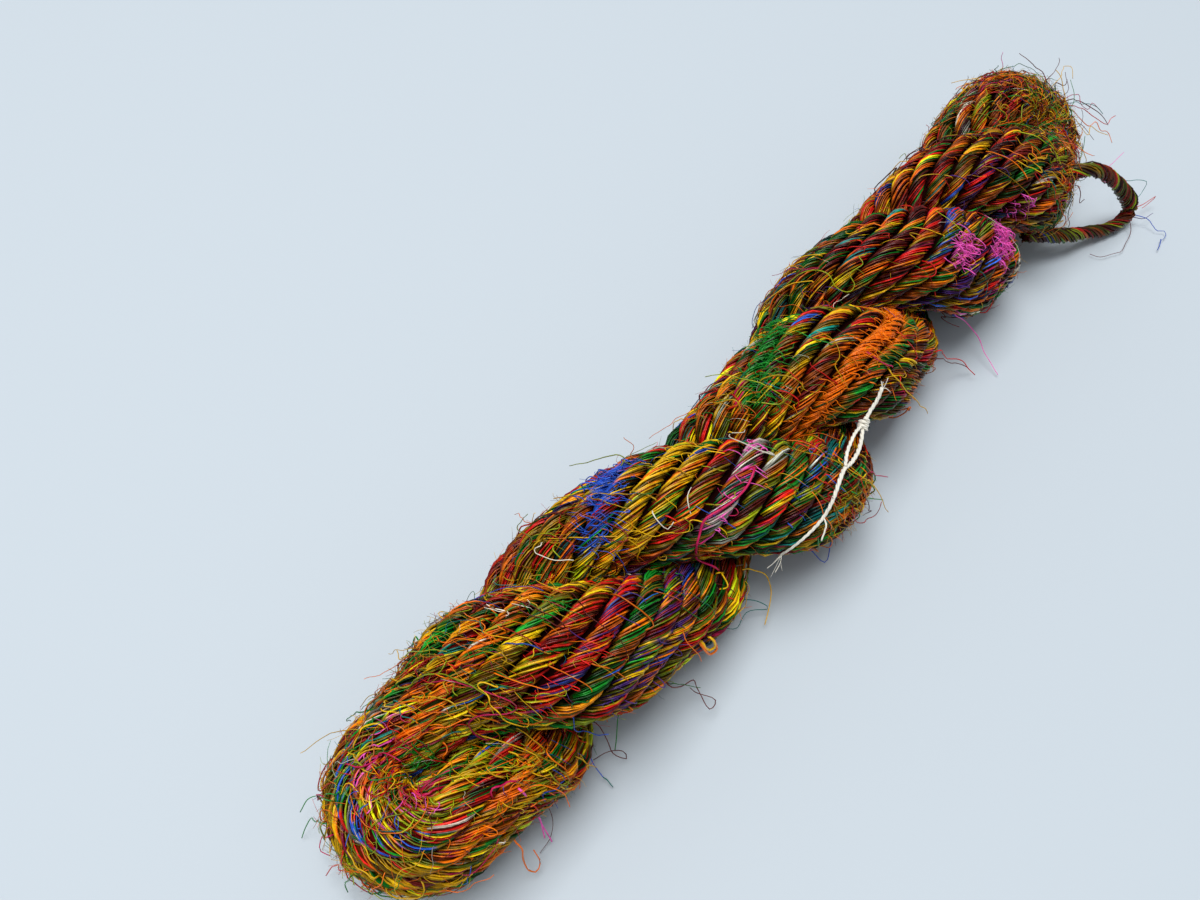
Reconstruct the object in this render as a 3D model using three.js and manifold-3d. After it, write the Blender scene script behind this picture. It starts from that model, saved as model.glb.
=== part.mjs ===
// A skein of bulky multicoloured yarn: a long loop of yarn turns, doubled and plied on itself into a rope
// of two strands, with a fold at each end. It lies on a table. X runs along it from the near fold to the
// far fold, Y is to its left and Z is up. Sizes are in millimetres.
import * as THREE from 'three';
import { mergeVertices } from 'three/addons/utils/BufferGeometryUtils.js';
import Module from 'manifold-3d';

const wasm = await Module();
wasm.setup();

// The yarn: its thickness, how far its turns stand out of a strand and how many show round one
const yarn = { thickness: 4.4, relief: 1.1, showing: 16 };

// The eye that a fold leaves round the line that it turns about
const eyeRadius = 0.8;

// Height of the skein's middle line above the table. Strands that reach lower are pressed flat.
const lieHeight = 18.6;

// Where the middle of the skein's box lies in the tables below, so that it comes to the origin
const middle = { x: -22.86, y: -1.98 };

// Along the skein: how far the ply has turned, how far the skein lies to the side, how far a strand's
// middle is from the skein's, and half the depth and half the width of a strand there
const stations = [
  { x: -146, turn: 0.0, side: 5, centre: 8, deep: 9, wide: 13 },
  { x: -134, turn: 0.08, side: 4.5, centre: 8.5, deep: 9.5, wide: 14 },
  { x: -119, turn: 0.25, side: 3.5, centre: 10, deep: 12, wide: 16 },
  { x: -96, turn: 0.5, side: 3, centre: 10, deep: 11, wide: 15 },
  { x: -70, turn: 0.75, side: -2, centre: 10, deep: 12, wide: 15.5 },
  { x: -46, turn: 1.0, side: -7, centre: 10, deep: 11.5, wide: 15 },
  { x: -23, turn: 1.25, side: -4.5, centre: 10, deep: 12, wide: 16 },
  { x: -2, turn: 1.5, side: -1, centre: 10, deep: 11.5, wide: 15.5 },
  { x: 20, turn: 1.75, side: -2, centre: 10, deep: 11.5, wide: 16 },
  { x: 42, turn: 2.0, side: -3.5, centre: 10, deep: 11.5, wide: 16 },
  { x: 62, turn: 2.25, side: -4.5, centre: 10, deep: 12, wide: 16 },
  { x: 81, turn: 2.46, side: -4, centre: 10, deep: 12, wide: 16 },
  { x: 97, turn: 2.6, side: -1, centre: 9.5, deep: 11, wide: 14 },
];
const near = stations[0];
const far = stations[stations.length - 1];

// How finely the skein is drawn: steps along a strand and round half a fold. A half of the loop is a
// strand with half a fold at each of its ends.
const strandSteps = 60;
const foldSteps = 4;
const halfSteps = strandSteps + 2 * foldSteps;

// The yarn turns run nearly straight along the skein, so in their strand they turn back faster than the
// ply turns. Going there and back moves each turn over by a whole number of places, which makes all the
// turns one yarn.
const placesMoved = 121;
const plyTurns = far.turn - near.turn;
const turnBack = placesMoved / yarn.showing / (2 * plyTurns);

// The white string that ties a few turns on the skein's right side, as thick as this. Its tail runs over
// the second lobe, its knot and bow bridge the dip to the third, and its tip lies on that one.
const tieThickness = 1.2;
const tieTailRoute = [
  [-66.0, -21.4, 22.0],
  [-65.2, -22.6, 24.6],
  [-63.6, -23.6, 26.6],
  [-61.4, -24.4, 28.2],
  [-59.0, -24.9, 29.3],
  [-57.0, -25.1, 30.4],
  [-55.0, -25.0, 31.8],
  [-53.0, -24.6, 32.9],
  [-50.8, -24.0, 33.6],
  [-48.4, -23.4, 33.8],
  [-46.2, -23.0, 33.2],
];
const tieTipRoute = [
  [-30.4, -20.0, 32.0],
  [-28.8, -19.8, 32.4],
  [-27.4, -19.8, 33.0],
  [-26.2, -19.8, 33.9],
  [-25.2, -19.6, 34.8],
  [-24.2, -19.3, 35.6],
];
const tieKnot = { at: [-32.6, -20.3, 31.8], radius: 1.5 };
const tieBow = { at: [-38.9, -21.6, 32.4], length: 10.4, width: 3.8, heading: 0.19 };

// One turn of the yarn that has slipped out of the far fold, drops to the table and goes back in
const turnLoopRoute = [
  [85.4, -24.6, 28.2],
  [87.0, -26.4, 28.5],
  [90.2, -28.6, 27.0],
  [95.2, -30.9, 23.5],
  [100.6, -33.4, 19.0],
  [105.2, -35.8, 14.5],
  [109.4, -38.2, 10.0],
  [111.8, -39.7, 6.5],
  [111.5, -40.4, 4.0],
  [109.2, -40.1, 2.6],
  [105.5, -39.1, 2.3],
  [101.4, -37.4, 2.6],
  [96.6, -34.9, 3.8],
  [91.3, -32.4, 5.5],
  [87.0, -30.6, 7.0],
];

const mix = THREE.MathUtils.lerp;

// The value of a column at x, on a smooth curve through the stations
function along(x, column) {
  let k = 0;
  while (k < stations.length - 2 && x > stations[k + 1].x) {
    k += 1;
  }
  const [a, b] = [stations[k], stations[k + 1]];
  const slope = (i) => {
    const before = stations[Math.max(i - 1, 0)];
    const after = stations[Math.min(i + 1, stations.length - 1)];
    return (after[column] - before[column]) / (after.x - before.x);
  };
  const span = b.x - a.x;
  const f = (x - a.x) / span;
  const g = 1 - f;
  return (
    g * g * (1 + 2 * f) * a[column] +
    f * f * (1 + 2 * g) * b[column] +
    f * g * span * (g * slope(k) - f * slope(k + 1))
  );
}

// The section of the loop at step i, counted from the middle of the near fold: out along the one strand,
// round the far fold, back along the other strand and round the near fold. The way out from the skein's
// middle line turns over in a fold, and the way across the strand stays.
function sectionAt(i) {
  const goingBack = i > halfSteps;
  const fromNear = halfSteps - Math.abs(halfSteps - i) - foldSteps;
  const inStrand = THREE.MathUtils.clamp(fromNear, 0, strandSteps);
  const x = mix(near.x, far.x, inStrand / strandSteps);
  const fold = (Math.PI / 2) * ((fromNear - inStrand) / foldSteps);
  const turned = along(x, 'turn') - near.turn;
  const phi = 2 * Math.PI * along(x, 'turn');
  const out = new THREE.Vector3(0, Math.cos(phi), Math.sin(phi));
  out.multiplyScalar((goingBack ? -1 : 1) * Math.cos(fold));
  return {
    inFold: fromNear <= 0 || fromNear >= strandSteps,
    origin: new THREE.Vector3(x, along(x, 'side'), lieHeight),
    out: out.add(new THREE.Vector3(Math.sin(fold), 0, 0)),
    across: new THREE.Vector3(0, Math.sin(phi), -Math.cos(phi)),
    centre: along(x, 'centre'),
    deep: along(x, 'deep'),
    wide: along(x, 'wide'),
    spin: 2 * Math.PI * turnBack * (goingBack ? 2 * plyTurns - turned : turned),
  };
}

// A distance from the line that a fold turns about, kept smoothly out of its eye
function keepOff(outward) {
  const past = outward - eyeRadius;
  return eyeRadius + 0.5 * (past + Math.hypot(past, 1));
}

// A point of the loop's surface at step i and at place j round it, where the even places are the crests of
// the yarn turns and the odd ones the grooves between them
function surfacePoint(i, j) {
  const s = sectionAt(i);
  const angle = (Math.PI * j) / yarn.showing + s.spin;
  const relief = (j % 2 === 0 ? 0.5 : -0.5) * yarn.relief;
  const outward = s.centre + (s.deep + relief) * Math.cos(angle);
  const sideways = (s.wide + relief) * Math.sin(angle);
  const point = s.origin.clone();
  point.addScaledVector(s.out, s.inFold ? keepOff(outward) : outward);
  return point.addScaledVector(s.across, sideways);
}

// Half of the loop from this step on: a straight ridged bar whose points are moved into place. The places
// run round the loop the other way than round the bar, so that the faces look outwards.
function makeHalf(firstStep) {
  const places = 2 * yarn.showing;
  const outline = roundSection(places, 1, 0.95);
  const bar = new THREE.ExtrudeGeometry(outline, {
    depth: halfSteps,
    steps: halfSteps,
    bevelEnabled: false,
  });
  const position = bar.getAttribute('position');
  for (let k = 0; k < position.count; k += 1) {
    const turned = Math.atan2(position.getY(k), position.getX(k)) / (2 * Math.PI);
    const j = Math.round((1 - turned) * places) % places;
    const point = surfacePoint(firstStep + Math.round(position.getZ(k)), j);
    position.setXYZ(k, point.x, point.y, point.z);
  }
  return toSolid(bar);
}

// The wound skein: both halves of the loop as one body, pressed flat where it lies on the table
function makeHank() {
  const hank = fromSolid(makeHalf(0).add(makeHalf(halfSteps)));
  const position = hank.getAttribute('position');
  for (let k = 0; k < position.count; k += 1) {
    position.setZ(k, Math.max(position.getZ(k), 0));
  }
  return hank;
}

// A round outline with this many corners, every second one of them at the inner radius
function roundSection(corners, radius, innerRadius = radius) {
  const points = [];
  for (let k = 0; k < corners; k += 1) {
    const angle = (2 * Math.PI * k) / corners;
    const reach = k % 2 === 0 ? radius : innerRadius;
    points.push(new THREE.Vector2(reach * Math.cos(angle), reach * Math.sin(angle)));
  }
  return new THREE.Shape(points);
}

// The same faces with shared points and fresh normals
function closedMesh(geometry) {
  geometry.deleteAttribute('normal');
  geometry.deleteAttribute('uv');
  const merged = mergeVertices(geometry, 1e-4);
  merged.computeVertexNormals();
  return merged;
}

function toSolid(geometry) {
  const merged = closedMesh(geometry);
  return new wasm.Manifold(
    new wasm.Mesh({
      numProp: 3,
      vertProperties: new Float32Array(merged.getAttribute('position').array),
      triVerts: new Uint32Array(merged.getIndex().array),
    }),
  );
}

function fromSolid(solid) {
  const mesh = solid.getMesh();
  const geometry = new THREE.BufferGeometry();
  geometry.setAttribute('position', new THREE.BufferAttribute(mesh.vertProperties, 3));
  geometry.setIndex(new THREE.BufferAttribute(mesh.triVerts, 1));
  geometry.computeVertexNormals();
  return geometry;
}

// A round cord along a route
function makeCord(route, thickness, sides, steps) {
  const points = route.map((p) => new THREE.Vector3(...p));
  return new THREE.ExtrudeGeometry(roundSection(sides, thickness / 2), {
    steps,
    bevelEnabled: false,
    extrudePath: new THREE.CatmullRomCurve3(points, false, 'centripetal'),
  });
}

// The knot: a small lump, with the two legs of its bow beside it
function makeKnot() {
  const lump = new THREE.SphereGeometry(tieKnot.radius, 10, 8);
  lump.scale(1.3, 1, 0.9);
  lump.translate(...tieKnot.at);
  const bow = new THREE.TorusGeometry(tieBow.width / 2, tieThickness / 2, 8, 20);
  bow.scale(tieBow.length / tieBow.width, 1, 1);
  bow.rotateX(0.6);
  bow.rotateZ(tieBow.heading);
  bow.translate(...tieBow.at);
  return fromSolid(toSolid(lump).add(toSolid(bow)));
}

function piece(name, geometry, color, roughness) {
  const material = new THREE.MeshStandardMaterial({ color, roughness, metalness: 0 });
  const mesh = new THREE.Mesh(geometry, material);
  mesh.name = name;
  return mesh;
}

const skein = new THREE.Group();
skein.position.set(-middle.x, -middle.y, 0);
skein.add(piece('hank', makeHank(), '#b0541c', 0.8));
skein.add(piece('turn_loop', makeCord(turnLoopRoute, yarn.thickness, 10, 26), '#8a5a22', 0.8));
skein.add(piece('tie_tail', makeCord(tieTailRoute, tieThickness, 8, 12), '#e6e2d6', 0.7));
skein.add(piece('tie_tip', makeCord(tieTipRoute, tieThickness, 8, 8), '#e6e2d6', 0.7));
skein.add(piece('tie_knot', makeKnot(), '#e6e2d6', 0.7));

export default skein;
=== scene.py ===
# %% [markdown]
# A skein of banana fibre yarn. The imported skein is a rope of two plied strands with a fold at
# each end. It is loaded first, as the frame that every thread below is laid on. The rope itself
# is too plain to show: the real skein is one long, bulky yarn, spun from dozens of dyed threads,
# so the looks are made by laying those threads one by one along the yarn's own path.

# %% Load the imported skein
import math

import bpy
import numpy as np
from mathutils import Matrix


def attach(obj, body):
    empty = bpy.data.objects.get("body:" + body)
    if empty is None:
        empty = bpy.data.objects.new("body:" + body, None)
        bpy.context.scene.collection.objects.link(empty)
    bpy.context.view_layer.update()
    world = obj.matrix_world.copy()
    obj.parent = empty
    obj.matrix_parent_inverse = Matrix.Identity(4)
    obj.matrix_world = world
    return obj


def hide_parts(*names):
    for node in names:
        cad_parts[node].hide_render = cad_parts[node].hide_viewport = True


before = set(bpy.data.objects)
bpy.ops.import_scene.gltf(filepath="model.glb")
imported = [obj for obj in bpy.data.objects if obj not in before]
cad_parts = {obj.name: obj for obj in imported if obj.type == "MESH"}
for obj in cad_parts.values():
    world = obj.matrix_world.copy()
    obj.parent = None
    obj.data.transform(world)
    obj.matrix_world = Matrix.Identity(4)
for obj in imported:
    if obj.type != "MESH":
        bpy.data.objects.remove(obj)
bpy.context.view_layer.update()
bpy.ops.object.select_all(action="DESELECT")
print("nodes", sorted(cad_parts))

# %% [markdown]
# The camera looks down along the skein from over its near end, 19 centimetres above the table. It
# is set first, because the free cords are checked against what it sees.

# %% Camera
MM = 0.001
CAMERA_PLACE = (-136.67 * MM, -44.96 * MM, 190.0 * MM)
CAMERA_HEADING = math.radians(38.1)
CAMERA_DOWN = math.radians(55.3)
LENS, SENSOR_WIDTH = 27.03, 36
NEAREST_SEEN = 10 * MM

bpy.ops.object.camera_add(
    location=CAMERA_PLACE,
    rotation=(math.pi / 2 - CAMERA_DOWN, 0, CAMERA_HEADING - math.pi / 2),
)
camera = bpy.context.object
camera.data.lens = LENS
camera.data.sensor_width = SENSOR_WIDTH
camera.data.clip_start = NEAREST_SEEN
bpy.context.scene.camera = camera
print("camera at", tuple(camera.location))

# %% [markdown]
# The yarn is wound into a long loop, and the loop is doubled and plied on itself. The tables
# below are the source's own: they say where the skein lies and how thick a strand is along its
# length. They are in millimetres, with the skein's box still off its middle, and laid() brings a
# point to the row's frame. The last column says how often the yarn has turned round its own
# strand. It grows fastest where the photo shows the steepest turns, and its end value makes each
# round of the yarn land in a place of its own among the sixteen. A strand is wider than it is
# deep, so EVEN_SPACING shifts the turns a little round it, to leave the same room between all of
# them. EYE_RADIUS keeps the two strands off the line that they twist round.

# %% The skein's own tables
MIDDLE = np.array([-22.86, -1.98, 0.0])
LIE_HEIGHT = 18.6
COLUMNS = ("x", "turn", "side", "centre", "deep", "wide", "wound")
STATIONS = np.array(
    [
        (-146, 0, 5, 8, 9, 13, 0),
        (-134, 0.08, 4.5, 8.5, 9.5, 14, 0.12),
        (-119, 0.25, 3.5, 10, 12, 16, 0.37),
        (-96, 0.5, 3, 10, 11, 15, 0.79),
        (-70, 0.75, -2, 10, 12, 15.5, 1.28),
        (-46, 1, -7, 10, 11.5, 15, 1.81),
        (-23, 1.25, -4.5, 10, 12, 16, 2.22),
        (-2, 1.5, -1, 10, 11.5, 15.5, 2.56),
        (20, 1.75, -2, 10, 11.5, 16, 2.94),
        (42, 2, -3.5, 10, 11.5, 16, 3.42),
        (62, 2.25, -4.5, 10, 12, 16, 3.85),
        (81, 2.46, -4, 10, 12, 16, 4.19),
        (97, 2.6, -1, 9.5, 11, 14, 4.40625),
    ],
    float,
)
STRAND_STEPS = 60
FOLD_STEPS = 4
HALF_STEPS = STRAND_STEPS + 2 * FOLD_STEPS
LOOP_STEPS = 2 * HALF_STEPS
TURNS_SHOWING = 16
EYE_RADIUS = 0.8
EVEN_SPACING = 0.084
NEAR_X, FAR_X = STATIONS[0, 0], STATIONS[-1, 0]
WOUND_IN_ALL = STATIONS[-1, 6]


def laid(points):
    """Points of the tables, in millimetres, brought to the row's frame in metres."""
    return (np.asarray(points, float) - MIDDLE) * MM


def along(x, column):
    """The value of a column at x, on a smooth curve through the stations."""
    xs = STATIONS[:, 0]
    values = STATIONS[:, COLUMNS.index(column)]
    before = np.maximum(np.arange(len(xs)) - 1, 0)
    after = np.minimum(np.arange(len(xs)) + 1, len(xs) - 1)
    slope = (values[after] - values[before]) / (xs[after] - xs[before])
    k = np.clip(np.searchsorted(xs, x) - 1, 0, len(xs) - 2)
    span = xs[k + 1] - xs[k]
    f = (x - xs[k]) / span
    g = 1 - f
    ends = g * g * (1 + 2 * f) * values[k] + f * f * (1 + 2 * g) * values[k + 1]
    return ends + f * g * span * (g * slope[k] - f * slope[k + 1])


print("the tables hold", len(STATIONS), "stations")

# %% [markdown]
# Every thread is placed in the loop's own coordinates: a step along the loop, an angle round the
# strand and a lift off its surface. So a thread always follows the form under it, whatever it
# does. The strand is pressed flat where it lies on the table.

# %% A point on the wound loop
BLEND_STEPS = 2.0
NO_FLOOR = -9


def unit(v):
    """Vectors scaled to length one."""
    return v / np.maximum(np.linalg.norm(v, axis=-1, keepdims=True), 1e-9)


def smooth(f):
    """A smooth ramp from 0 to 1."""
    f = np.clip(f, 0, 1)
    return f * f * (3 - 2 * f)


def loop_x(step):
    """Where along the skein a step is, how far round a fold, and how far from the near fold."""
    from_near = HALF_STEPS - np.abs(HALF_STEPS - step % LOOP_STEPS) - FOLD_STEPS
    in_strand = np.clip(from_near, 0, STRAND_STEPS)
    x = NEAR_X + (FAR_X - NEAR_X) * in_strand / STRAND_STEPS
    return x, from_near - in_strand, from_near


def spin(step):
    """How far the yarn has turned round its strand at a step, all rounds before it included."""
    rounds = np.floor(step / LOOP_STEPS)
    x, _, _ = loop_x(step)
    wound = along(x, "wound")
    back = (step % LOOP_STEPS) > HALF_STEPS
    there = np.where(back, 2 * WOUND_IN_ALL - wound, wound)
    return 2 * math.pi * (there + 2 * WOUND_IN_ALL * rounds)


def surface(step, angle, lift, floor=0.3):
    """A point of the loop at a step, an angle round the strand and a lift off its surface."""
    x, past, from_near = loop_x(step)
    fold = (math.pi / 2) * past / FOLD_STEPS
    phi = 2 * math.pi * along(x, "turn")
    sign = np.where((step % LOOP_STEPS) > HALF_STEPS, -1.0, 1.0)
    nothing = np.zeros_like(phi)
    out = np.stack(
        [np.sin(fold), sign * np.cos(phi) * np.cos(fold), sign * np.sin(phi) * np.cos(fold)], -1
    )
    across = np.stack([nothing, np.sin(phi), -np.cos(phi)], -1)
    origin = np.stack([x, along(x, "side"), nothing + LIE_HEIGHT], -1)
    outward = along(x, "centre") + (along(x, "deep") + lift) * np.cos(angle)
    sideways = (along(x, "wide") + lift) * np.sin(angle)
    past_eye = outward - EYE_RADIUS
    kept_off = EYE_RADIUS + 0.5 * (past_eye + np.hypot(past_eye, 1))
    to_fold = np.minimum(from_near, STRAND_STEPS - from_near) / BLEND_STEPS
    outward = kept_off + (outward - kept_off) * smooth(to_fold)
    point = origin + out * outward[..., None] + across * sideways[..., None]
    point[..., 2] = np.maximum(point[..., 2], floor)
    return point


top = surface(np.array([20.0]), np.array([0.0]), np.array([0.0]))
print("a point of the loop", top.round(1))

# %% [markdown]
# Hand-dyed thread changes colour every few centimetres. A dye is one named colour. The colour
# lives in a point attribute, not in the material, so one material serves a hundred thousand
# lengths of thread, and each length keeps its own dye. On the yarn's turns and cores, that
# attribute also carries painted shade.

# %% Dyes
SEED = 20
rng = np.random.default_rng(SEED)


def linear(color):
    """A colour of 0 to 255, as the eye names it, in the linear values that Blender mixes."""
    c = np.asarray(color, float) / 255
    return np.where(c < 0.04045, c / 12.92, ((c + 0.055) / 1.055) ** 2.4)


DYES = {
    "orange": linear((252, 122, 0)),
    "yellow": linear((244, 190, 8)),
    "green": linear((18, 132, 34)),
    "red": linear((214, 26, 18)),
    "magenta": linear((196, 18, 84)),
    "blue": linear((40, 88, 200)),
    "violet": linear((72, 36, 112)),
    "white": linear((238, 232, 212)),
    "lime": linear((166, 182, 16)),
    "teal": linear((16, 120, 112)),
    "maroon": linear((96, 20, 16)),
    "pink": linear((255, 92, 196)),
}
DYE_NAMES = list(DYES)
DYE_TABLE = np.array([DYES[name] for name in DYE_NAMES])

# How much of each dye there is along the skein: x, then the shares in the order of DYE_NAMES
# Maroon grows towards the far end, partly for the yarn's darker dyes there and partly as painted
# shade, where less light falls.
DYE_SHARES = np.array(
    [
        (-165, 12, 42, 15, 7, 3, 3, 1, 4, 18, 3, 6, 0.3),
        (-130, 24, 33, 9, 11, 2, 3, 1, 2, 12, 2, 9, 0.3),
        (-105, 30, 20, 16, 14, 2, 4, 3, 2, 7, 5, 8, 0.3),
        (-70, 25, 20, 18, 19, 2, 2, 1, 3, 8, 5, 9, 0.3),
        (-20, 28, 23, 14, 13, 2, 2, 2, 2, 8, 3, 10, 0.3),
        (30, 28, 14, 8, 25, 3, 3, 2, 1, 5, 2, 16, 0.3),
        (70, 25, 17, 14, 10, 1, 1, 0.5, 1, 10, 3, 28, 0.3),
        (125, 24, 14, 13, 7, 0.5, 0.5, 0.5, 0.5, 11, 2, 38, 0),
        (140, 30, 12, 6, 8, 0, 0.5, 0.5, 0.5, 12, 2, 28, 0),
    ],
    float,
)


def shares_at(x):
    """The shares of the dyes at this place along the skein."""
    shares = [np.interp(x, DYE_SHARES[:, 0], column) for column in DYE_SHARES[:, 1:].T]
    return np.array(shares) / sum(shares)


def wander(length, knot, size, rows=1):
    """Smooth random values along a line: this many samples, with a knot every so many."""
    knots = int(math.ceil((length - 1) / knot)) + 2
    values = rng.uniform(-size, size, (rows, knots))
    place = np.arange(length) / knot
    k = place.astype(int)
    f = smooth(place - k)
    return values[:, k] * (1 - f) + values[:, k + 1] * f


print(len(DYES), "dyes")

# %% [markdown]
# All the threads are tubes, thin and many, so they are one kind of mesh: rows of points, with a
# small ring of corners round each. Building them straight from arrays is the quickest way that
# Blender has. Each row also gets its own strip of a map, so that its colours can be baked later.
# TABLE_GAP keeps the tubes off the table.

# %% Thread meshes
UV_MARGIN = 0.12
UV_EDGE = 0.02
TABLE_GAP = 0.02


def new_mesh(name, points, quads, ends, dye, uv_quads, uv_ends):
    """A mesh from arrays: quads, the polygons that close the tubes' ends, a colour and a map."""
    mesh = bpy.data.meshes.new(name)
    sides = ends.shape[1]
    corners = np.concatenate([quads.ravel(), ends.ravel()])
    starts = np.concatenate(
        [np.arange(len(quads)) * 4, len(quads) * 4 + np.arange(len(ends)) * sides]
    )
    mesh.vertices.add(len(points))
    mesh.loops.add(len(corners))
    mesh.polygons.add(len(starts))
    mesh.vertices.foreach_set("co", points.astype(np.float32).ravel())
    mesh.loops.foreach_set("vertex_index", corners.astype(np.int32))
    mesh.polygons.foreach_set("loop_start", starts.astype(np.int32))
    mesh.polygons.foreach_set("use_smooth", np.ones(len(starts), bool))
    mesh.update(calc_edges=True)
    # The dye attribute holds each piece's colour: its dye, and on the yarn's turns and cores
    # painted shade as well.
    color = mesh.attributes.new("dye", "FLOAT_COLOR", "POINT")
    rgba = np.concatenate([dye, np.ones((len(dye), 1))], 1)
    color.data.foreach_set("color", rgba.astype(np.float32).ravel())
    uv = mesh.uv_layers.new(name="OFBake")
    flat = np.concatenate([uv_quads.reshape(-1, 2), uv_ends.reshape(-1, 2)])
    uv.data.foreach_set("uv", flat.astype(np.float32).ravel())
    piece = bpy.data.objects.new(name, mesh)
    bpy.context.collection.objects.link(piece)
    return piece


def square_to(line, reference):
    """Two directions square to a line at each of its points, the first towards the reference."""
    ahead = unit(np.gradient(line, axis=-2))
    up = unit(reference - ahead * (reference * ahead).sum(-1, keepdims=True))
    return up, np.cross(ahead, up)


def tubes(name, paths, radius, dye, reference, keep=None, sides=3, columns=1):
    """Tubes along rows of points. keep says which stretches between two points are made,
    and columns how many rows share a line of the map."""
    rows, count = paths.shape[:2]
    radius = np.broadcast_to(radius, (rows, count))
    dye = np.broadcast_to(dye, (rows, count, 3))
    keep = np.ones((rows, count - 1), bool) if keep is None else keep
    up, beside = square_to(paths, reference)
    around = 2 * math.pi * np.arange(sides) / sides
    ring = (
        up[:, :, None] * np.cos(around)[None, None, :, None]
        + beside[:, :, None] * np.sin(around)[None, None, :, None]
    )
    corners = paths[:, :, None] + ring * radius[:, :, None, None]
    corners[..., 2] = np.maximum(corners[..., 2], TABLE_GAP)

    used = np.zeros((rows, count), bool)
    used[:, :-1] |= keep
    used[:, 1:] |= keep
    number = np.cumsum(used).reshape(rows, count) - 1
    index = number[:, :, None] * sides + np.arange(sides)

    r, j = np.nonzero(keep)
    turned = np.roll(np.arange(sides), -1)
    a, b = index[r, j], index[r, j + 1]
    quads = np.stack([a, a[:, turned], b[:, turned], b], -1).reshape(-1, 4)

    before = np.pad(keep, ((0, 0), (1, 0)))[:, :-1]
    after = np.pad(keep, ((0, 0), (0, 1)))[:, 1:]
    r0, j0 = np.nonzero(keep & ~before)
    r1, j1 = np.nonzero(keep & ~after)
    ends = np.concatenate([index[r0, j0][:, ::-1], index[r1, j1 + 1]])

    high = math.ceil(rows / columns)

    def at(row, column, across):
        """Where a corner lies in the map."""
        u = (row % columns + UV_EDGE + (1 - 2 * UV_EDGE) * column / (count - 1)) / columns
        v = (row // columns + UV_MARGIN + (1 - 2 * UV_MARGIN) * across) / high
        return np.stack([u, v], -1)

    strip = np.stack([at(r, j, 0), at(r, j, 1), at(r, j + 1, 1), at(r, j + 1, 0)], 1)
    uv_quads = np.repeat(strip, sides, axis=0)
    end_rows = np.concatenate([r0, r1])
    end_columns = np.concatenate([j0 + 0.1, j1 + 0.9])
    spread = [
        at(end_rows, end_columns + 0.1 * math.cos(t), 0.5 + 0.4 * math.sin(t)) for t in around
    ]
    uv_ends = np.stack(spread, 1)
    piece = new_mesh(
        name,
        laid(corners[used].reshape(-1, 3)),
        quads,
        ends,
        np.repeat(dye[used], sides, axis=0),
        uv_quads,
        uv_ends,
    )
    triangles = 2 * len(quads) + (sides - 2) * len(ends)
    print(name, triangles, "triangles")
    return piece


# %% [markdown]
# A spun yarn is a bundle of threads that twist round its middle, about once every two
# centimetres. Four neighbours at a time share a dye, so the eye sees bold stripes, and each
# thread now and then takes a dye of its own. The dyes change every few centimetres along a
# thread. The threads also wander in and out of the bundle a little, and the bundle is thick in
# some places and thin in others.

# %% Spin threads round a line
THREADS = 32
STRIPE_THREADS = 4
TWIST = 18.0
THREAD_RADIUS = 0.205
BUNDLE_RADIUS = 1.86
CORE_RADIUS = 1.50
LEAD_RUN, STRIPE_RUN, THREAD_RUN = (50, 140), (20, 90), (12, 60)
LEAD_SHARE, FIRST_LEAD_SHARE = 0.45, 0.27
LEAD_CONTRAST = 1.3
OWN_ABOVE = 0.45
RUN_SHADES, STRIPE_SHADES, SHADE_POWER = (0.26, 1.45), (0.26, 1.6), 1.7
TINTS = (0.93, 1.07)
DARKEST = 0.002
# For wander: a knot every so many samples, and the size
OWN_WANDER, SHADE_WANDER = (12, 1.0), (5, 0.15)
PHASE_WANDER, REACH_WANDER, THICK_WANDER = (6, 0.38), (4, 0.38), (9, 0.13)


def lengths(line):
    """How far along a line each of its points is."""
    steps = np.linalg.norm(np.diff(line, axis=0), axis=1)
    return np.concatenate([[0], np.cumsum(steps)])


def runs(distance, least, most):
    """Stretches of a line, each of a random length: its first, last and middle sample."""
    start = 0.0
    while start < distance[-1]:
        end = start + rng.uniform(least, most)
        first, last = np.searchsorted(distance, [start, end])
        yield first, last + 1, min((first + last) // 2, len(distance) - 1)
        start = end


def deep_shade(least, most):
    """A random shade of a dye: most threads are deep in colour, and a few are bright."""
    return least + (most - least) * rng.random() ** SHADE_POWER


def lead_dyes(distance, places):
    """The two dyes that lead a yarn, changing every ten centimetres or so."""
    lead = np.zeros((len(distance), 2), int)
    for first, last, middle in runs(distance, *LEAD_RUN):
        shares = shares_at(places[middle]) ** LEAD_CONTRAST
        lead[first:last] = rng.choice(len(DYE_NAMES), 2, replace=False, p=shares / shares.sum())
    return lead


def dye_runs(distance, places, least, most, lead):
    """Colours along one thread: runs of one dye each, often the dyes that lead the yarn there."""
    colors = np.zeros((len(distance), 3))
    for first, last, middle in runs(distance, least, most):
        pick = rng.random()
        if pick < LEAD_SHARE:
            dye = lead[middle, int(pick > FIRST_LEAD_SHARE)]
        else:
            dye = rng.choice(len(DYE_NAMES), p=shares_at(places[middle]))
        colors[first:last] = DYE_TABLE[dye] * deep_shade(*RUN_SHADES) * rng.uniform(*TINTS, 3)
    return colors


def thread_colors(distance, places, lead):
    """The colours of all the threads of a yarn: stripes of one dye, with others strewn in."""
    rows = []
    for _ in range(THREADS // STRIPE_THREADS):
        stripe = dye_runs(distance, places, *STRIPE_RUN, lead)
        for _ in range(STRIPE_THREADS):
            own = dye_runs(distance, places, *THREAD_RUN, lead)
            is_own = wander(len(distance), *OWN_WANDER)[0][:, None] > OWN_ABOVE
            shade = deep_shade(*STRIPE_SHADES)
            shade = shade + wander(len(distance), *SHADE_WANDER)[0][:, None]
            rows.append(np.where(is_own, own, stripe * shade))
    return np.clip(np.stack(rows), DARKEST, 1)


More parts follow.
